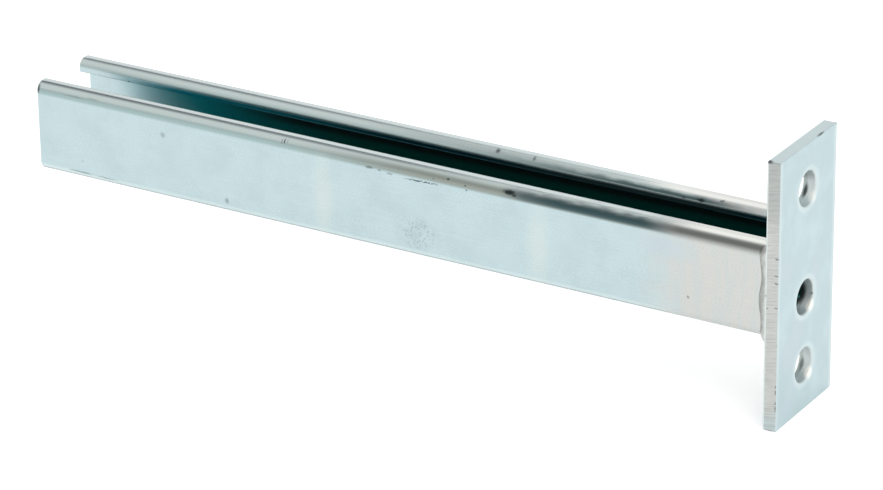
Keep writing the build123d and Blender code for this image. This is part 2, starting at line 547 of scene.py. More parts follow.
def plate_mesh(form):
    """Points, faces and fields of the plate: its sides, two faces and three torn, punched holes."""
    thick = PLATE_HIGH.x
    loop = plate_outline(form, pitch=0.5 * MM)
    normals = outward_normals(loop)
    lines = shear_lines(loop, form)
    wall_edge = [
        (form.wall_break * (1 - np.sin(a)), form.wall_break * (1 - np.cos(a)))
        for a in QUARTER_TURN[::-1]
    ]
    flank = [(x, 0.0) for x in np.linspace(form.wall_break, thick - form.edge_roll, 8)[1:-1]]
    roll = [
        (thick - form.edge_roll * (1 - np.sin(a)), form.edge_roll * (1 - np.cos(a)))
        for a in np.radians((0, 18, 36, 54, 72, 90))
    ]
    stations = wall_edge + flank + roll
    vertices, faces = [], []

    def put(rows, closed_faces):
        start = sum(map(len, vertices))
        vertices.append(rows)
        faces.extend(tuple(int(i) + start for i in face) for face in closed_faces)

    # The shear's lines are deepest near the wall side, where the steel tore, and fade further in
    rings = []
    for x, inset in stations:
        torn = 1.0 - 0.65 * np.clip((x - 0.3 * thick) / (0.5 * thick), 0, 1)
        edge_fade = 0.35 if inset > 0 else 1.0
        place = np.stack((np.full(len(loop), x), loop.real, loop.imag), axis=1)
        fine = lattice_noise(place, form.shear_pitch * 0.8, seed=24)
        grain = 0.3 * form.shear_depth * (0.5 + 0.5 * fine)
        ring = loop - normals * (inset + (lines * torn + grain) * edge_fade)
        rings.append(np.stack((np.full(len(loop), x), ring.real, ring.imag), axis=1))
    put(np.concatenate(rings), quad_rows(len(rings), len(loop)))

    # Each hole: rolled mouth on the wall side, straight land, then the wider torn exit
    around = np.exp(2j * np.pi * np.arange(HOLE_POINTS) / HOLE_POINTS)
    mouth = [
        (form.punch_roll * (1 - np.cos(a)), BORE_RADIUS + form.punch_roll * (1 - np.sin(a)), 0.0)
        for a in np.radians((0, 15, 30, 45, 60, 75, 90))
    ]
    land_end = form.punch_roll + form.punch_land
    land = [(x, BORE_RADIUS, 0.0) for x in np.linspace(form.punch_roll, land_end, 5)[1:]]
    growth = form.breakout_growth
    exit_part = np.linspace(0, 1, 7)[1:]
    torn_exit = [
        (land_end + (thick - land_end) * t, BORE_RADIUS + growth * t, 1.0 if t < 1 else 0.0)
        for t in exit_part
    ]
    mouths, exits = [], []
    for number, height in enumerate(HOLE_HEIGHTS):
        centre = complex(0, height)
        rows = []
        for x, radius, tear in mouth + land + torn_exit:
            depth = np.full(HOLE_POINTS, x)
            place = np.stack((depth, radius * around.real, radius * around.imag), axis=1)
            ragged = form.breakout_tear * tear * lattice_noise(place, TEAR_PITCH, seed=31 + number)
            ring = centre + (radius + ragged) * around
            rows.append(np.stack((depth, ring.real, ring.imag), axis=1))
        put(np.concatenate(rows), quad_rows(len(rows), HOLE_POINTS))
        mouths.append(rows[0][:, 1] + 1j * rows[0][:, 2])
        exits.append(rows[-1][:, 1] + 1j * rows[-1][:, 2])
    wall_loop = rings[0][:, 1] + 1j * rings[0][:, 2]
    arm_loop = rings[-1][:, 1] + 1j * rings[-1][:, 2]
    put(*face_triangles(wall_loop, mouths, form.mesh_pitch, 0.0))
    put(*face_triangles(arm_loop, exits, form.mesh_pitch, thick))
    vertices = np.concatenate(vertices)

    # The punch drew the wall face in round each hole, and the blank is not dead flat
    y, z = vertices[:, 1], vertices[:, 2]
    to_hole = np.min([np.hypot(y, z - height) for height in HOLE_HEIGHTS], axis=0) - BORE_RADIUS
    share = np.clip(1 - to_hole / (form.punch_roll + form.draw_in_width), 0, 1)
    depth_fade = np.clip(1 - vertices[:, 0] / land_end, 0, 1)
    vertices[:, 0] += form.draw_in * share**2 * depth_fade
    to_edge = np.minimum(PLATE_HIGH.y - abs(y), PLATE_HIGH.z - abs(z))
    from_edge = np.clip(to_edge / BLANK_SAG_MARGIN, 0, 1)
    waves = lattice_noise(vertices[:, 1:], BLANK_SAG_PITCH, seed=41)
    sag = BLANK_SAG * from_edge * (0.5 + 0.5 * waves)
    vertices[:, 0] += sag * (1 - 2 * vertices[:, 0] / thick)
    return vertices, faces, {"to_hole": to_hole}


def bead_mesh(form, arm_form):
    """Points, faces and fields of the bead: rippled sections that run down, under and up."""
    half_width, half_height = ARM_HIGH.y, ARM_HIGH.z
    bend = arm_form.inner_bend + arm_form.strip_thickness
    flat_end = half_width - bend - 0.1 * MM
    right = [
        complex(flat_end, half_height),
        complex(half_width, half_height),
        complex(half_width, -half_height),
    ]
    corners = right + [-corner.conjugate() for corner in reversed(right)]
    run, _ = rounded_path(corners, [bend] * 4, [1] * 5, arc_steps=12)
    gone = np.concatenate(([0], np.cumsum(np.abs(np.diff(run)))))
    length = gone[-1] - 2 * form.start_on_bend
    at = form.start_on_bend + np.linspace(0, length, round(length / form.mesh_pitch) + 1)
    line = np.interp(at, gone, run.real) + 1j * np.interp(at, gone, run.imag)
    tangent = np.gradient(line)
    outward = 1j * tangent / abs(tangent)
    leg_on_plate = (PLATE_HIGH.y - half_width) - form.to_plate_edge
    share = np.linspace(0, 1, BEAD_FACE_POINTS)
    bulge = 4 * share * (1 - share)
    rings, toes = [], []
    for here, centre, out in zip(at - form.start_on_bend, line, outward):
        entry = np.clip(min(here, length - here) / form.end_round, 0, 1)
        size = form.end_share + (1 - form.end_share) * math.sqrt(1 - (1 - entry) ** 2)
        swell = form.swell * math.cos(2 * math.pi * (here - form.end_round) / form.swell_pitch)
        on_channel = (form.leg_on_channel + swell) * size
        on_plate = leg_on_plate * size
        # A ripple's crest runs ahead in the middle of the bead, as the pool freezes from its edges
        phase = here / form.ripple_pitch - RIPPLE_LEAD * bulge
        wander = lattice_noise(np.array([[here, 0.0]]), RIPPLE_WANDER_PITCH, seed=51)
        phase += RIPPLE_WANDER * float(wander[0])
        wave = 0.5 - 0.5 * np.cos(2 * np.pi * phase)
        lift = form.crown * size * 1.41 * bulge - form.ripple_depth * wave * np.sqrt(bulge)
        slope = math.hypot(on_plate, on_channel)
        side = on_plate * (1 - share) + lift * on_channel / slope
        reach = on_channel * share + lift * on_plate / slope
        side = np.concatenate((side, [-form.bite, -form.bite, on_plate]))
        reach = np.concatenate((reach, [on_channel, -form.bite, -form.bite]))
        ring = centre + out * side
        rings.append(np.stack((ARM_LOW.x + reach, ring.real, ring.imag), axis=1))
        toes.append(np.concatenate((share, [1, 1, 0])))
    vertices = np.concatenate(rings)
    faces = [tuple(face) for face in quad_rows(len(rings), len(rings[0]))]
    columns = len(rings[0])
    faces.append(tuple(range(columns)))
    faces.append(tuple(range(len(vertices) - columns, len(vertices))))
    return vertices, faces, {"toe": np.concatenate(toes)}


def zinc_shader(tree, colour, roughness, rougher, height, height_scale):
    """Plated metal over a fine relief; rougher lists (share, amount) to add to its roughness."""
    for share, amount in rougher:
        added = {0: share, 1: amount, 2: roughness}
        roughness = add_node(tree, "ShaderNodeMath", added, operation="MULTIPLY_ADD").outputs[0]
    relief = {"Strength": 1.0, "Distance": height_scale, "Height": height}
    normal = add_node(tree, "ShaderNodeBump", relief).outputs["Normal"]
    metal = {"Base Color": colour, "Metallic": 1.0, "Roughness": roughness, "Normal": normal}
    shader = add_node(tree, "ShaderNodeBsdfPrincipled", metal)
    add_node(tree, "ShaderNodeOutputMaterial", {"Surface": shader.outputs["BSDF"]})


def new_material(name):
    """An empty node material and its tree."""
    material = bpy.data.materials.new(name)
    material.use_nodes = True
    material.node_tree.nodes.clear()
    return material, material.node_tree


def soft_spot(tree, place, centre, half_size, edge=0.6):
    """1 inside an ellipsoid, 0 outside it, with a soft edge; sizes in mm."""
    away = add_node(
        tree, "ShaderNodeVectorMath", {0: place, 1: [c * MM for c in centre]}, operation="SUBTRACT"
    )
    scaled = add_node(
        tree,
        "ShaderNodeVectorMath",
        {0: away.outputs[0], 1: [1 / (h * MM) for h in half_size]},
        operation="MULTIPLY",
    )
    far = add_node(tree, "ShaderNodeVectorMath", {0: scaled.outputs[0]}, operation="LENGTH")
    return add_node(
        tree,
        "ShaderNodeMapRange",
        {
            "Value": far.outputs["Value"],
            "From Min": 1 - edge,
            "From Max": 1 + edge,
            "To Min": 1.0,
            "To Max": 0.0,
        },
        interpolation_type="SMOOTHSTEP",
    ).outputs["Result"]


def streaks(tree, place, length, width, detail=2.0):
    """Noise drawn out along the arm; sizes in mm."""
    stretched = add_node(
        tree,
        "ShaderNodeVectorMath",
        {0: place, 1: (1 / (length * MM), 1 / (width * MM), 1 / (width * MM))},
        operation="MULTIPLY",
    )
    return add_node(
        tree, "ShaderNodeTexNoise", {"Vector": stretched.outputs[0], "Scale": 1.0, "Detail": detail}
    ).outputs[0]


def zone(tree, *parts):
    """Where a finish lies: the product of its parts.

    Each part is a share, or a (value, start, end) that goes from 0 at start to 1 at end."""
    product = None
    for part in parts:
        if isinstance(part, tuple):
            value, start, end = part
            part = add_node(
                tree,
                "ShaderNodeMapRange",
                {"Value": value, "From Min": start, "From Max": end},
                interpolation_type="SMOOTHSTEP",
            ).outputs["Result"]
        if product is not None:
            pair = {0: product, 1: part}
            part = add_node(tree, "ShaderNodeMath", pair, operation="MULTIPLY").outputs[0]
        product = part
    return product


def laid_on(tree, under, over, *parts):
    """The colour under, with over laid on it in the zone that the parts give."""
    mixed = {0: zone(tree, *parts), 6: under, 7: over}
    return add_node(tree, "ShaderNodeMix", mixed, data_type="RGBA").outputs[2]


def rolled_zinc(colours):
    """Roll-formed strip, bright zinc plated and clear blue passivated.

    It gives a cold silver that blurs what it mirrors, with faint lines along the arm from the
    rolls, soft clouds from the bath, painted shade inside the arm, painted reflections, shade and
    highlights on the bends, and the rubs and specks of handling."""
    material, tree = new_material("rolled_strip_bright_zinc")
    place = add_node(tree, "ShaderNodeTexCoord").outputs["Object"]
    strip = add_node(tree, "ShaderNodeAttribute", attribute_name="strip").outputs["Vector"]
    bend = add_node(tree, "ShaderNodeAttribute", attribute_name="bend").outputs["Fac"]
    inside = add_node(tree, "ShaderNodeAttribute", attribute_name="inside").outputs["Fac"]
    axes = add_node(tree, "ShaderNodeSeparateXYZ", {0: place})
    x, y, z = axes.outputs[0], axes.outputs[1], axes.outputs[2]
    off_middle = add_node(tree, "ShaderNodeMath", {0: y}, operation="ABSOLUTE").outputs[0]
    facing = add_node(tree, "ShaderNodeNewGeometry").outputs["Normal"]
    rise = add_node(tree, "ShaderNodeSeparateXYZ", {0: facing}).outputs[2]
    outside = zone(tree, (inside, 0.3, 0.1))
    upper = zone(tree, (z, 12 * MM, 14 * MM))
    near_bend = zone(tree, outside, upper, (y, 14 * MM, 15.5 * MM))

    clouds = add_node(
        tree,
        "ShaderNodeTexNoise",
        {"Vector": strip, "Scale": 1 / (17 * MM), "Detail": 5.0, "Roughness": 0.62},
    ).outputs[0]
    fine = streaks(tree, strip, 42, 0.55)
    broad = streaks(tree, strip, 160, 3.2)
    dull = add_node(
        tree, "ShaderNodeMath", {0: fine, 1: 0.1, 2: clouds}, operation="MULTIPLY_ADD"
    ).outputs[0]
    dull = add_node(
        tree, "ShaderNodeMath", {0: broad, 1: 0.14, 2: dull}, operation="MULTIPLY_ADD"
    ).outputs[0]
    colour = laid_on(tree, colours.zinc, colours.cloud, (dull, 0.46, 0.9))
    # Painted reflection: a warm tint on the upward-facing part of the upper bends
    curled_reflection = zone(tree, outside, upper, (rise, 0.0, 0.45))
    colour = laid_on(tree, colour, colours.bend_reflection, curled_reflection, 0.9)
    # Painted highlight: the flat tops of the lips are made paler
    flat_top_highlight = zone(tree, outside, upper, (rise, 0.985, 0.999), 0.8)
    colour = laid_on(tree, colour, colours.pale, flat_top_highlight)
    wall_bend = zone(tree, (off_middle, 16 * MM, 17.5 * MM))
    slot_bend = zone(tree, (off_middle, 17.5 * MM, 16 * MM))
    # Painted shade: greenish, low on the wall-side and slot-side bends
    wall_bend_shade = zone(
        tree, outside, wall_bend, (z, 14.8 * MM, 16.6 * MM), (z, 19 * MM, 17.3 * MM), 0.9
    )
    colour = laid_on(tree, colour, colours.bend_shade, wall_bend_shade)
    slot_bend_shade = zone(
        tree, outside, upper, slot_bend, (rise, 0.02, 0.3), (rise, 0.72, 0.3), 0.5
    )
    colour = laid_on(tree, colour, colours.bend_shade, slot_bend_shade)
    # Painted reflection under the arm: pale where it faces down, with a dark line low on the bottom
    # bends
    underside_reflection = zone(tree, outside, (rise, -0.05, -0.3), 0.4)
    colour = laid_on(tree, colour, colours.pale, underside_reflection)
    low_edge_reflection = zone(tree, outside, bend, (rise, -0.5, -0.7), 0.7)
    colour = laid_on(tree, colour, colours.slate, low_edge_reflection)

    # The weld zone was dressed before plating, so the part by the plate is neutral, in bands
    wander = streaks(tree, strip, 22, 9)
    reach = add_node(
        tree, "ShaderNodeMath", {0: wander, 1: 22 * MM, 2: x}, operation="MULTIPLY_ADD"
    ).outputs[0]
    dressed = zone(tree, (reach, 84 * MM, 50 * MM), outside)
    bands = streaks(tree, strip, 4.5, 30)
    banded = laid_on(tree, colours.dressed, colours.cloud, (bands, 0.4, 0.65))
    banded = laid_on(tree, banded, colours.dressed, 0.72)
    colour = laid_on(tree, colour, banded, dressed)
    turned = soft_spot(tree, place, (54, 20.5, 10), (10, 3, 5), edge=0.9)
    colour = laid_on(tree, colour, colours.mauve, turned, 0.6)

    # Rinse water dried in two upright smears
    for smear_x in (218, 113):
        smear = soft_spot(tree, place, (smear_x, 20.5, -2.5), (4.4, 3, 15), edge=0.9)
        colour = laid_on(tree, colour, colours.smear, smear, outside, 0.34)

    # Painted shade inside the arm: teal near the open end, darker further in and under the lips
    # first; painted blue shade on the lips' slot side
    off_the_web = add_node(
        tree,
        "ShaderNodeMath",
        {0: zone(tree, (rise, 0.9, 0.3)), 1: 0.5, 2: 0.5},
        operation="MULTIPLY_ADD",
    ).outputs[0]
    inward = zone(tree, (inside, 0.4, 0.7), off_the_web)
    depth = add_node(
        tree, "ShaderNodeMath", {0: z, 1: -1.2, 2: x}, operation="MULTIPLY_ADD"
    ).outputs[0]
    colour = laid_on(tree, colour, colours.inside, inward, (depth, 348 * MM, 293 * MM))
    colour = laid_on(tree, colour, colours.depths, inward, (depth, 292 * MM, 215 * MM))
    slot_side = zone(
        tree,
        outside,
        (z, 12 * MM, 13 * MM),
        (z, 17.4 * MM, 16.2 * MM),
        (off_middle, 13 * MM, 12 * MM),
        (x, 356 * MM, 310 * MM),
    )
    colour = laid_on(tree, colour, colours.lip_face, slot_side)
    lip_depths_shade = zone(tree, slot_side, (x, 285 * MM, 190 * MM), 0.9)
    colour = laid_on(tree, colour, colours.lip_depths_shade, lip_depths_shade)
    # Painted shadow under the lips, deep in the arm
    shadow_under_lip = zone(tree, inward, (z, 7 * MM, 10 * MM), (x, 300 * MM, 250 * MM), 0.9)
    colour = laid_on(tree, colour, colours.soot_and_shadow, shadow_under_lip)
    # Painted highlight along each lip's slit edge, away from the open end
    slit = zone(tree, (z, 15.5 * MM, 15.1 * MM), (off_middle, 13 * MM, 12 * MM), upper)
    colour = laid_on(tree, colour, colours.slit_edge, slit, (x, 300 * MM, 260 * MM), 0.8)

    # A painted dark reflection runs as a line along each bend's top; the near bend has a darker
    # band below it and a wide painted dark reflection
    line = zone(tree, outside, upper, (rise, 0.8, 0.92), (rise, 0.998, 0.975))
    near_line_reflection = zone(tree, line, near_bend, (x, 120 * MM, 190 * MM), 0.6)
    colour = laid_on(tree, colour, colours.slate, near_line_reflection)
    far_side = zone(tree, (y, -9 * MM, -11 * MM))
    far_line_reflection = zone(tree, line, far_side, (x, 150 * MM, 260 * MM), 0.25)
    colour = laid_on(tree, colour, colours.slate, far_line_reflection)
    on_bend = zone(tree, near_bend, (z, 15 * MM, 16.8 * MM), (rise, 0.95, 0.45))
    darker_band = zone(tree, on_bend, (x, 250 * MM, 160 * MM), (x, 50 * MM, 70 * MM))
    colour = laid_on(tree, colour, colours.darker_band, darker_band)
    mottle = streaks(tree, place, 7, 1.8, detail=4.0)
    edge_of_reflection = add_node(
        tree, "ShaderNodeMath", {0: mottle, 1: 0.5, 2: rise}, operation="MULTIPLY_ADD"
    ).outputs[0]
    # Painted dark reflection on the near bend: grey-blue at its top, dark teal below
    dark_reflection_zone = zone(
        tree, (x, 133 * MM, 119 * MM), (x, 44 * MM, 64 * MM), (z, 15.2 * MM, 17.2 * MM), near_bend
    )
    dark_reflection_top = zone(tree, dark_reflection_zone, (edge_of_reflection, 1.3, 0.95), 0.7)
    colour = laid_on(tree, colour, colours.slate, dark_reflection_top)
    dark_reflection_low = zone(tree, dark_reflection_zone, (edge_of_reflection, 1.15, 0.7), (x, 150 * MM, 100 * MM))
    colour = laid_on(tree, colour, colours.dark_reflection, dark_reflection_low, 0.95)

    # By the plate both lips get a painted highlight on top, and the near bend a painted dark
    # reflection below it; the far lip has painted shade further out
    by_plate = zone(tree, near_bend, (x, 66 * MM, 46 * MM))
    greyed_reflection = zone(tree, by_plate, (z, 14.4 * MM, 18.2 * MM), (rise, 0.95, 0.55))
    colour = laid_on(tree, colour, colours.toe, greyed_reflection)
    far_lip = zone(tree, outside, upper, far_side)
    # Painted shade low on the far lip's bend, strongest from 55 to 80 mm along
    shaded = zone(
        tree,
        far_lip,
        (edge_of_reflection, 1.13, 0.68),
        (x, 190 * MM, 80 * MM),
        (x, 20 * MM, 55 * MM),
        0.92,
    )
    colour = laid_on(tree, colour, colours.dark_reflection, shaded)
    # Painted grey-blue reflection on the far lip's shoulder
    shoulder_reflection = zone(tree, far_lip, (rise, 0.95, 0.82), (rise, 0.4, 0.55), 0.3)
    shoulder_reflection = zone(tree, shoulder_reflection, (x, 230 * MM, 170 * MM), (x, 80 * MM, 120 * MM))
    colour = laid_on(tree, colour, colours.slate, shoulder_reflection)
    # Painted highlight on the bends' tops by the plate, reaching further out on the far lip
    highlight_start = add_node(
        tree, "ShaderNodeMath", {0: far_side, 1: 30 * MM, 2: 60 * MM}, operation="MULTIPLY_ADD"
    ).outputs[0]
    from_start = add_node(
        tree, "ShaderNodeMath", {0: highlight_start, 1: x}, operation="SUBTRACT"
    ).outputs[0]
    top_highlight = zone(tree, outside, upper, (rise, 0.72, 0.93), (from_start, 0.0, 26 * MM))
    flat_top_share = add_node(
        tree,
        "ShaderNodeMath",
        {0: zone(tree, (rise, 0.985, 0.999)), 1: -0.4, 2: 1.0},
        operation="MULTIPLY_ADD",
    ).outputs[0]
    colour = laid_on(tree, colour, colours.painted_highlight, top_highlight, flat_top_share)
    glint = zone(tree, far_lip, slot_bend, (rise, 0.31, 0.23), (rise, 0.05, 0.15))
    colour = laid_on(tree, colour, colours.pale, glint, (x, 210 * MM, 150 * MM), 0.8)

    # Sooty specks scattered in one patch, and the single marks
    specks = add_node(
        tree, "ShaderNodeTexNoise", {"Vector": place, "Scale": 1 / (0.7 * MM), "Detail": 2.0}
    ).outputs[0]
    patch = soft_spot(tree, place, (171, 20.5, -9.5), (7, 3, 6), edge=0.9)
    marked = zone(tree, (specks, 0.54, 0.66), patch, 0.34)
    for haze_x, haze_z in ((173.3, -10.7), (169.8, -5.4)):
        haze = zone(
            tree, soft_spot(tree, place, (haze_x, 20.5, haze_z), (2.8, 3, 2.2), edge=0.9), 0.08
        )
        marked = add_node(tree, "ShaderNodeMath", {0: marked, 1: haze}, operation="ADD").outputs[0]
    ragged = add_node(
        tree, "ShaderNodeTexNoise", {"Vector": place, "Scale": 1 / (1.2 * MM), "Detail": 3.0}
    ).outputs["Color"]
    nudge = add_node(
        tree,
        "ShaderNodeVectorMath",
        {0: ragged, 1: [1.1 * MM] * 3, 2: [-0.55 * MM] * 3},
        operation="MULTIPLY_ADD",
    ).outputs[0]
    nudged = add_node(
        tree, "ShaderNodeVectorMath", {0: place, 1: nudge}, operation="ADD"
    ).outputs[0]
    for _, centre, (half_long, half_high), darkness in ARM_MARKS:
        spot = zone(tree, soft_spot(tree, nudged, centre, (half_long, 2.5, half_high)), darkness)
        marked = add_node(
            tree, "ShaderNodeMath", {0: marked, 1: spot}, operation="MAXIMUM"
        ).outputs[0]
    nudged_axes = add_node(tree, "ShaderNodeSeparateXYZ", {0: nudged})
    tilt = add_node(
        tree,
        "ShaderNodeMath",
        {0: nudged_axes.outputs[0], 1: 0.03, 2: nudged_axes.outputs[2]},
        operation="MULTIPLY_ADD",
    ).outputs[0]
    along_scratch = add_node(tree, "ShaderNodeCombineXYZ", {0: x, 1: y, 2: tilt}).outputs[0]
    scratch = soft_spot(tree, along_scratch, (168.5, 20, 19.6), (7.4, 3, 0.36))
    scratch = zone(tree, scratch, (specks, 0.36, 0.5), 0.9)
    marked = add_node(
        tree, "ShaderNodeMath", {0: marked, 1: scratch}, operation="MAXIMUM"
    ).outputs[0]
    marked = zone(tree, marked, outside)
    colour = laid_on(tree, colour, colours.soot_and_shadow, marked)

    unlit = add_node(
        tree, "ShaderNodeMath", {0: inward, 1: slot_side}, operation="MAXIMUM"
    ).outputs[0]
    unlit = zone(tree, unlit, (x, 356 * MM, 320 * MM))
    relief = add_node(
        tree, "ShaderNodeMath", {0: marked, 1: -0.8, 2: fine}, operation="MULTIPLY_ADD"
    ).outputs[0]
    rougher = ((fine, 0.06), (marked, 0.3), (slit, 0.35), (unlit, 0.25))
    zinc_shader(tree, colour, 0.25, rougher, relief, 0.003 * MM)
    return material


def blanked_zinc(colours):
    """Mill plate, sheared and punched, bright zinc plated and clear blue passivated.

    It gives a pale satin face with clouds and paler rims, neutral sides with the shear's lines
    across them, a painted highlight on the arm-side edge, and punched walls that are a little
    duller where the punch tore the steel, with painted shade and painted highlights in the holes."""
    material, tree = new_material("blanked_plate_bright_zinc")
    place = add_node(tree, "ShaderNodeTexCoord").outputs["Object"]
    to_hole = add_node(tree, "ShaderNodeAttribute", attribute_name="to_hole").outputs["Fac"]
    axes = add_node(tree, "ShaderNodeSeparateXYZ", {0: place})
    x, y, z = axes.outputs[0], axes.outputs[1], axes.outputs[2]
    normal = add_node(tree, "ShaderNodeNewGeometry").outputs["Normal"]
    facing = add_node(tree, "ShaderNodeSeparateXYZ", {0: normal})
    flat = add_node(tree, "ShaderNodeMath", {0: facing.outputs[0]}, operation="ABSOLUTE").outputs[0]
    flat = zone(tree, (flat, 0.6, 0.95))
    upright = add_node(
        tree, "ShaderNodeMath", {0: facing.outputs[2]}, operation="ABSOLUTE"
    ).outputs[0]
    clouds = add_node(
        tree,
        "ShaderNodeTexNoise",
        {"Vector": place, "Scale": 1 / (14 * MM), "Detail": 4.0, "Roughness": 0.55},
    ).outputs[0]
    turns = add_node(
        tree, "ShaderNodeTexNoise", {"Vector": place, "Scale": 1 / (22 * MM), "Detail": 3.0}
    ).outputs[0]
    skin = laid_on(tree, colours.zinc, colours.cloud, (clouds, 0.3, 0.58))
    skin = laid_on(tree, skin, colours.mauve, (turns, 0.5, 0.66), 0.7)

    # Thicker plating along the long edges and in a ring round each hole
    off_middle = add_node(tree, "ShaderNodeMath", {0: y}, operation="ABSOLUTE").outputs[0]
    rim = add_node(
        tree,
        "ShaderNodeMath",
        {
            0: zone(tree, (off_middle, 22 * MM, 23.8 * MM)),
            1: zone(tree, (to_hole, 3.4 * MM, 1.4 * MM)),
        },
        operation="MAXIMUM",
    ).outputs[0]
    colour = laid_on(tree, skin, colours.pale, rim, 0.3)

    # The shear's fine lines run through the thickness; its top, bottom and upper sides are cooler
    lean = add_node(
        tree, "ShaderNodeMath", {0: x, 1: 0.2, 2: z}, operation="MULTIPLY_ADD"
    ).outputs[0]
    leaning = add_node(tree, "ShaderNodeCombineXYZ", {0: x, 1: y, 2: lean}).outputs[0]
    shear = streaks(tree, leaning, 8, 0.5)
    side_tone = laid_on(tree, colours.sheared, colours.slate, (z, 26 * MM, 42 * MM), 0.3)
    side_tone = laid_on(tree, side_tone, colours.cloud, (z, -48 * MM, -56 * MM), 0.6)
    short_side = laid_on(tree, skin, colours.pale, 0.55)
    side_tone = laid_on(tree, side_tone, short_side, (upright, 0.5, 0.9))
    lined = zone(tree, (shear, 0.42, 0.66), (upright, 0.9, 0.5), 0.26)
    side_tone = laid_on(tree, side_tone, colours.toe, lined)
    # Painted highlight along the rolled edge on the arm side
    arm_edge_highlight = zone(tree, (x, 5.0 * MM, 5.5 * MM), (flat, 0.9, 0.4), 0.8)
    side_tone = laid_on(tree, side_tone, colours.pale, arm_edge_highlight)
    colour = laid_on(tree, side_tone, colour, flat)

    # A broken dark line where the shear let go along the wall edge
    breaks = streaks(tree, place, 4, 1.6)
    arris = zone(tree, (x, 0.75 * MM, 0.35 * MM), (flat, 0.9, 0.2))
    arris = zone(tree, arris, (breaks, 0.5, 0.62), (z, -8 * MM, -50 * MM), 0.75)
    colour = laid_on(tree, colour, colours.soot_and_shadow, arris)

    # Down each hole: the smooth land, then the torn exit, with painted shade on the bore's
    # upward-facing foot
    bore = zone(tree, (to_hole, 0.5 * MM, 0.2 * MM))
    wall_tone = laid_on(tree, colours.punched, colours.torn, (x, 3.9 * MM, 4.3 * MM))
    bore_foot_shade = zone(tree, (facing.outputs[2], 0.6, 0.95), 0.6)
    wall_tone = laid_on(tree, wall_tone, colours.cloud, bore_foot_shade)
    colour = laid_on(tree, colour, wall_tone, bore)
    # Painted highlight low in each hole's mouth
    for height, share in zip(HOLE_HEIGHTS, (0.45, 0.9, 0.9)):
        highlight_lobe = soft_spot(tree, place, (0.9, -5.2, height / MM - 5.5), (1.2, 2.6, 2.8), edge=0.5)
        colour = laid_on(tree, colour, colours.painted_highlight, highlight_lobe, share)
    for _, centre, half_size, darkness in PLATE_MARKS:
        spot = soft_spot(tree, place, centre, half_size)
        colour = laid_on(tree, colour, colours.soot_and_shadow, spot, darkness)

    grain = add_node(
        tree, "ShaderNodeTexNoise", {"Vector": place, "Scale": 1 / (0.6 * MM), "Detail": 3.0}
    ).outputs[0]
    rougher = ((grain, 0.12), (bore, 0.28))
    zinc_shader(tree, colour, 0.26, rougher, grain, 0.006 * MM)
    return material


def bead_zinc(colours):
    """Fused weld metal, zinc plated as welded.

    It gives a smooth grey crown with soft ripples, painted shade along its toe on the arm, and a
    painted highlight along its edge on the plate."""
    material, tree = new_material("weld_bead_grey_zinc")
    place = add_node(tree, "ShaderNodeTexCoord").outputs["Object"]
    toe = add_node(tree, "ShaderNodeAttribute", attribute_name="toe").outputs["Fac"]
    grain = add_node(
        tree, "ShaderNodeTexNoise", {"Vector": place, "Scale": 1 / (0.8 * MM), "Detail": 3.0}
    ).outputs[0]
    patches = add_node(
        tree, "ShaderNodeTexNoise", {"Vector": place, "Scale": 1 / (5 * MM), "Detail": 3.0}
    ).outputs[0]
    colour = laid_on(tree, colours.weld, colours.dressed, (patches, 0.4, 0.65))
    # Painted shade at the toe on the arm, and a painted highlight at the edge on the plate
    colour = laid_on(tree, colour, colours.toe, (toe, 0.72, 1.0), 0.8)
    colour = laid_on(tree, colour, colours.pale, (toe, 0.25, 0.0), 0.5)
    rougher = ((grain, 0.15),)
    zinc_shader(tree, colour, 0.28, rougher, grain, 0.01 * MM)
    return material


def studio_floor(colours):
    """Painted white studio floor: it keeps the bracket's shadow, and is clear from below."""
    material, tree = new_material("painted_studio_floor")
    path = add_node(tree, "ShaderNodeLightPath")
    seen = add_node(
        tree,
        "ShaderNodeMath",
        {0: path.outputs["Is Camera Ray"], 1: path.outputs["Is Glossy Ray"]},
        operation="MAXIMUM",
    ).outputs[0]
    seen = add_node(
        tree,
        "ShaderNodeMath",
        {0: seen, 1: path.outputs["Is Transmission Ray"]},
        operation="MAXIMUM",
    ).outputs[0]
    paint = add_node(tree, "ShaderNodeBsdfDiffuse", {"Color": colours.floor})
    strength = add_node(
        tree, "ShaderNodeMath", {0: seen, 1: FLOOR_GLOW}, operation="MULTIPLY"
    ).outputs[0]
    glow = add_node(tree, "ShaderNodeEmission", {"Color": (1, 1, 1, 1), "Strength": strength})
    lit = add_node(tree, "ShaderNodeAddShader", {0: paint.outputs[0], 1: glow.outputs[0]})
    below = add_node(tree, "ShaderNodeNewGeometry").outputs["Backfacing"]
    clear = add_node(tree, "ShaderNodeBsdfTransparent")
    surface = add_node(
        tree, "ShaderNodeMixShader", {0: below, 1: lit.outputs[0], 2: clear.outputs[0]}
    )
    add_node(tree, "ShaderNodeOutputMaterial", {"Surface": surface.outputs[0]})
    return material


class BRACKET_OT_channel(Operator):
    """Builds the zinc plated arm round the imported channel"""

    bl_idname = "bracket.build_channel"
    bl_label = "Build channel"

    def execute(self, context):
        bracket = context.scene.bracket
        vertices, faces, fields = arm_mesh(bracket.channel)
        material = rolled_zinc(bracket.colours)
        finished_piece(
            "plated_channel", vertices, faces, material, "strut_channel", fields
        )
        return {"FINISHED"}


class BRACKET_OT_plate(Operator):
    """Builds the zinc plated wall plate with its punched holes"""

    bl_idname = "bracket.build_plate"
    bl_label = "Build wall plate"

    def execute(self, context):
        bracket = context.scene.bracket
        vertices, faces, fields = plate_mesh(bracket.plate)
        material = blanked_zinc(bracket.colours)
        finished_piece(
            "plated_wall_plate", vertices, faces, material, "base_plate", fields
        )
        return {"FINISHED"}


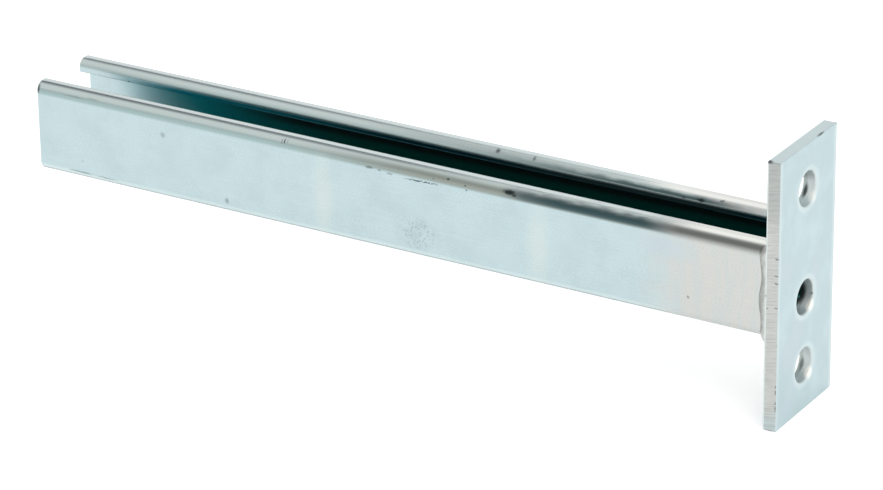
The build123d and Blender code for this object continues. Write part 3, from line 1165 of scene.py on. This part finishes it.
class BRACKET_OT_weld(Operator):
    """Builds the rippled weld bead between arm and plate"""

    bl_idname = "bracket.build_weld"
    bl_label = "Build weld"

    def execute(self, context):
        bracket = context.scene.bracket
        vertices, faces, fields = bead_mesh(bracket.weld, bracket.channel)
        material = bead_zinc(bracket.colours)
        finished_piece(
            "plated_weld_bead", vertices, faces, material, "weld_bead", fields
        )
        return {"FINISHED"}


def add_camera(studio):
    """The camera at the photograph's viewing angle."""
    turn, rise = studio.azimuth, studio.elevation
    level = math.cos(rise)
    back = Vector((math.sin(turn) * level, -math.cos(turn) * level, math.sin(rise)))
    level_right = Vector((0, 0, 1)).cross(back).normalized()
    level_up = back.cross(level_right)
    right = math.cos(studio.roll) * level_right + math.sin(studio.roll) * level_up
    up = back.cross(right)
    data = bpy.data.cameras.new("photo_camera")
    data.sensor_width = SENSOR_WIDTH
    data.lens = PHOTO_FOCAL / PHOTO_WIDTH * SENSOR_WIDTH
    data.clip_start, data.clip_end = CAMERA_CLIP
    camera = bpy.data.objects.new("photo_camera", data)
    camera.matrix_world = Matrix.Translation(Vector(studio.aim) + back * studio.distance) @ Matrix(
        (right, up, back)
    ).transposed().to_4x4()
    bpy.context.scene.collection.objects.link(camera)
    bpy.context.scene.camera = camera


def hang(thing, place, aim):
    """Puts a lamp or a card at a place in the studio, turned to a point."""
    thing.location = place
    thing.rotation_mode = "QUATERNION"
    thing.rotation_quaternion = (Vector(aim) - Vector(place)).to_track_quat("-Z", "Y")
    bpy.context.scene.collection.objects.link(thing)


def add_lamp(name, place, aim, size, power, colour):
    """A soft square lamp."""
    data = bpy.data.lights.new(name, "AREA")
    data.size = size
    data.energy = power
    data.color = linear(colour)[:3]
    hang(bpy.data.objects.new(name, data), place, aim)


def square_sheet(name, size, material):
    """A flat square that faces up."""
    half = size / 2
    corners = [(-half, -half, 0), (half, -half, 0), (half, half, 0), (-half, half, 0)]
    mesh = bpy.data.meshes.new(name)
    mesh.from_pydata(corners, [], [(0, 1, 2, 3)])
    mesh.materials.append(material)
    return bpy.data.objects.new(name, mesh)


def add_card(name, place, aim, size, colour):
    """A studio card that the camera doesn't see but the metal mirrors."""
    material, tree = new_material(name)
    cloth = add_node(tree, "ShaderNodeBsdfDiffuse", {"Color": linear(colour)})
    add_node(tree, "ShaderNodeOutputMaterial", {"Surface": cloth.outputs[0]})
    card = square_sheet(name, size, material)
    card.visible_camera = False
    hang(card, place, aim)


class BRACKET_OT_stage(Operator):
    """Lays the floor, hangs the light tent and its dark card, and places the camera"""

    bl_idname = "bracket.build_stage"
    bl_label = "Build stage"

    def execute(self, context):
        bracket = context.scene.bracket
        studio = bracket.studio
        floor = square_sheet("studio_floor", studio.floor_size, studio_floor(bracket.colours))
        floor.location.z = CAD_LOW.z
        context.scene.collection.objects.link(floor)

        world = bpy.data.worlds.new("light_tent")
        world.use_nodes = True
        world.node_tree.nodes.clear()
        tree = world.node_tree
        path = add_node(tree, "ShaderNodeLightPath").outputs["Is Camera Ray"]
        strength = add_node(
            tree, "ShaderNodeMapRange", {"Value": path, "To Min": studio.tent_light, "To Max": 1.0}
        ).outputs["Result"]
        tent = add_node(tree, "ShaderNodeBackground", {"Color": (1, 1, 1, 1), "Strength": strength})
        add_node(tree, "ShaderNodeOutputWorld", {"Surface": tent.outputs[0]})
        context.scene.world = world
        context.scene.view_settings.view_transform = "Standard"

        centre = (CAD_LOW + CAD_HIGH) / 2
        add_card("dark_ceiling_card", centre + CARD_PLACE, centre, CARD_SIZE, "#8C8892")
        add_lamp("key_softbox", centre + KEY_PLACE, centre, KEY_SIZE, KEY_POWER, "#FFF8F0")
        add_camera(studio)
        return {"FINISHED"}


class BracketSettings(PropertyGroup):
    """Everything a user would change."""

    channel: PointerProperty(name="Channel", description="The roll-formed arm", type=ChannelForm)
    plate: PointerProperty(name="Plate", description="The punched wall plate", type=PlateForm)
    weld: PointerProperty(name="Weld", description="The fillet bead", type=WeldForm)
    colours: PointerProperty(name="Colours", description="The finish", type=FinishColours)
    studio: PointerProperty(name="Studio", description="Camera and light", type=StudioForm)


class BRACKET_PT_sidebar(Panel):
    """Lists the bracket's builders"""

    bl_idname = "BRACKET_PT_sidebar"
    bl_label = "Strut channel bracket"
    bl_space_type = "VIEW_3D"
    bl_region_type = "UI"
    bl_category = "Bracket"

    def draw(self, context):
        for builder in BUILDERS:
            self.layout.operator(builder.bl_idname)
        for group in ("channel", "plate", "weld", "colours", "studio"):
            settings = getattr(context.scene.bracket, group)
            box = self.layout.box()
            box.label(text=group.capitalize())
            for name in settings.bl_rna.properties.keys():
                if name not in ("rna_type", "name"):
                    box.prop(settings, name)


BUILDERS = (BRACKET_OT_channel, BRACKET_OT_plate, BRACKET_OT_weld, BRACKET_OT_stage)
FORMS = (ChannelForm, PlateForm, WeldForm, FinishColours, StudioForm, BracketSettings)
CLASSES = (*FORMS, *BUILDERS, BRACKET_PT_sidebar)


def register():
    for cls in CLASSES:
        bpy.utils.register_class(cls)
    bpy.types.Scene.bracket = PointerProperty(type=BracketSettings)


def unregister():
    del bpy.types.Scene.bracket
    for cls in reversed(CLASSES):
        bpy.utils.unregister_class(cls)


def main():
    """Builds every piece and the stage."""
    register()
    bpy.ops.bracket.build_channel()
    bpy.ops.bracket.build_plate()
    bpy.ops.bracket.build_weld()
    bpy.ops.bracket.build_stage()


if __name__ == "__main__":
    main()
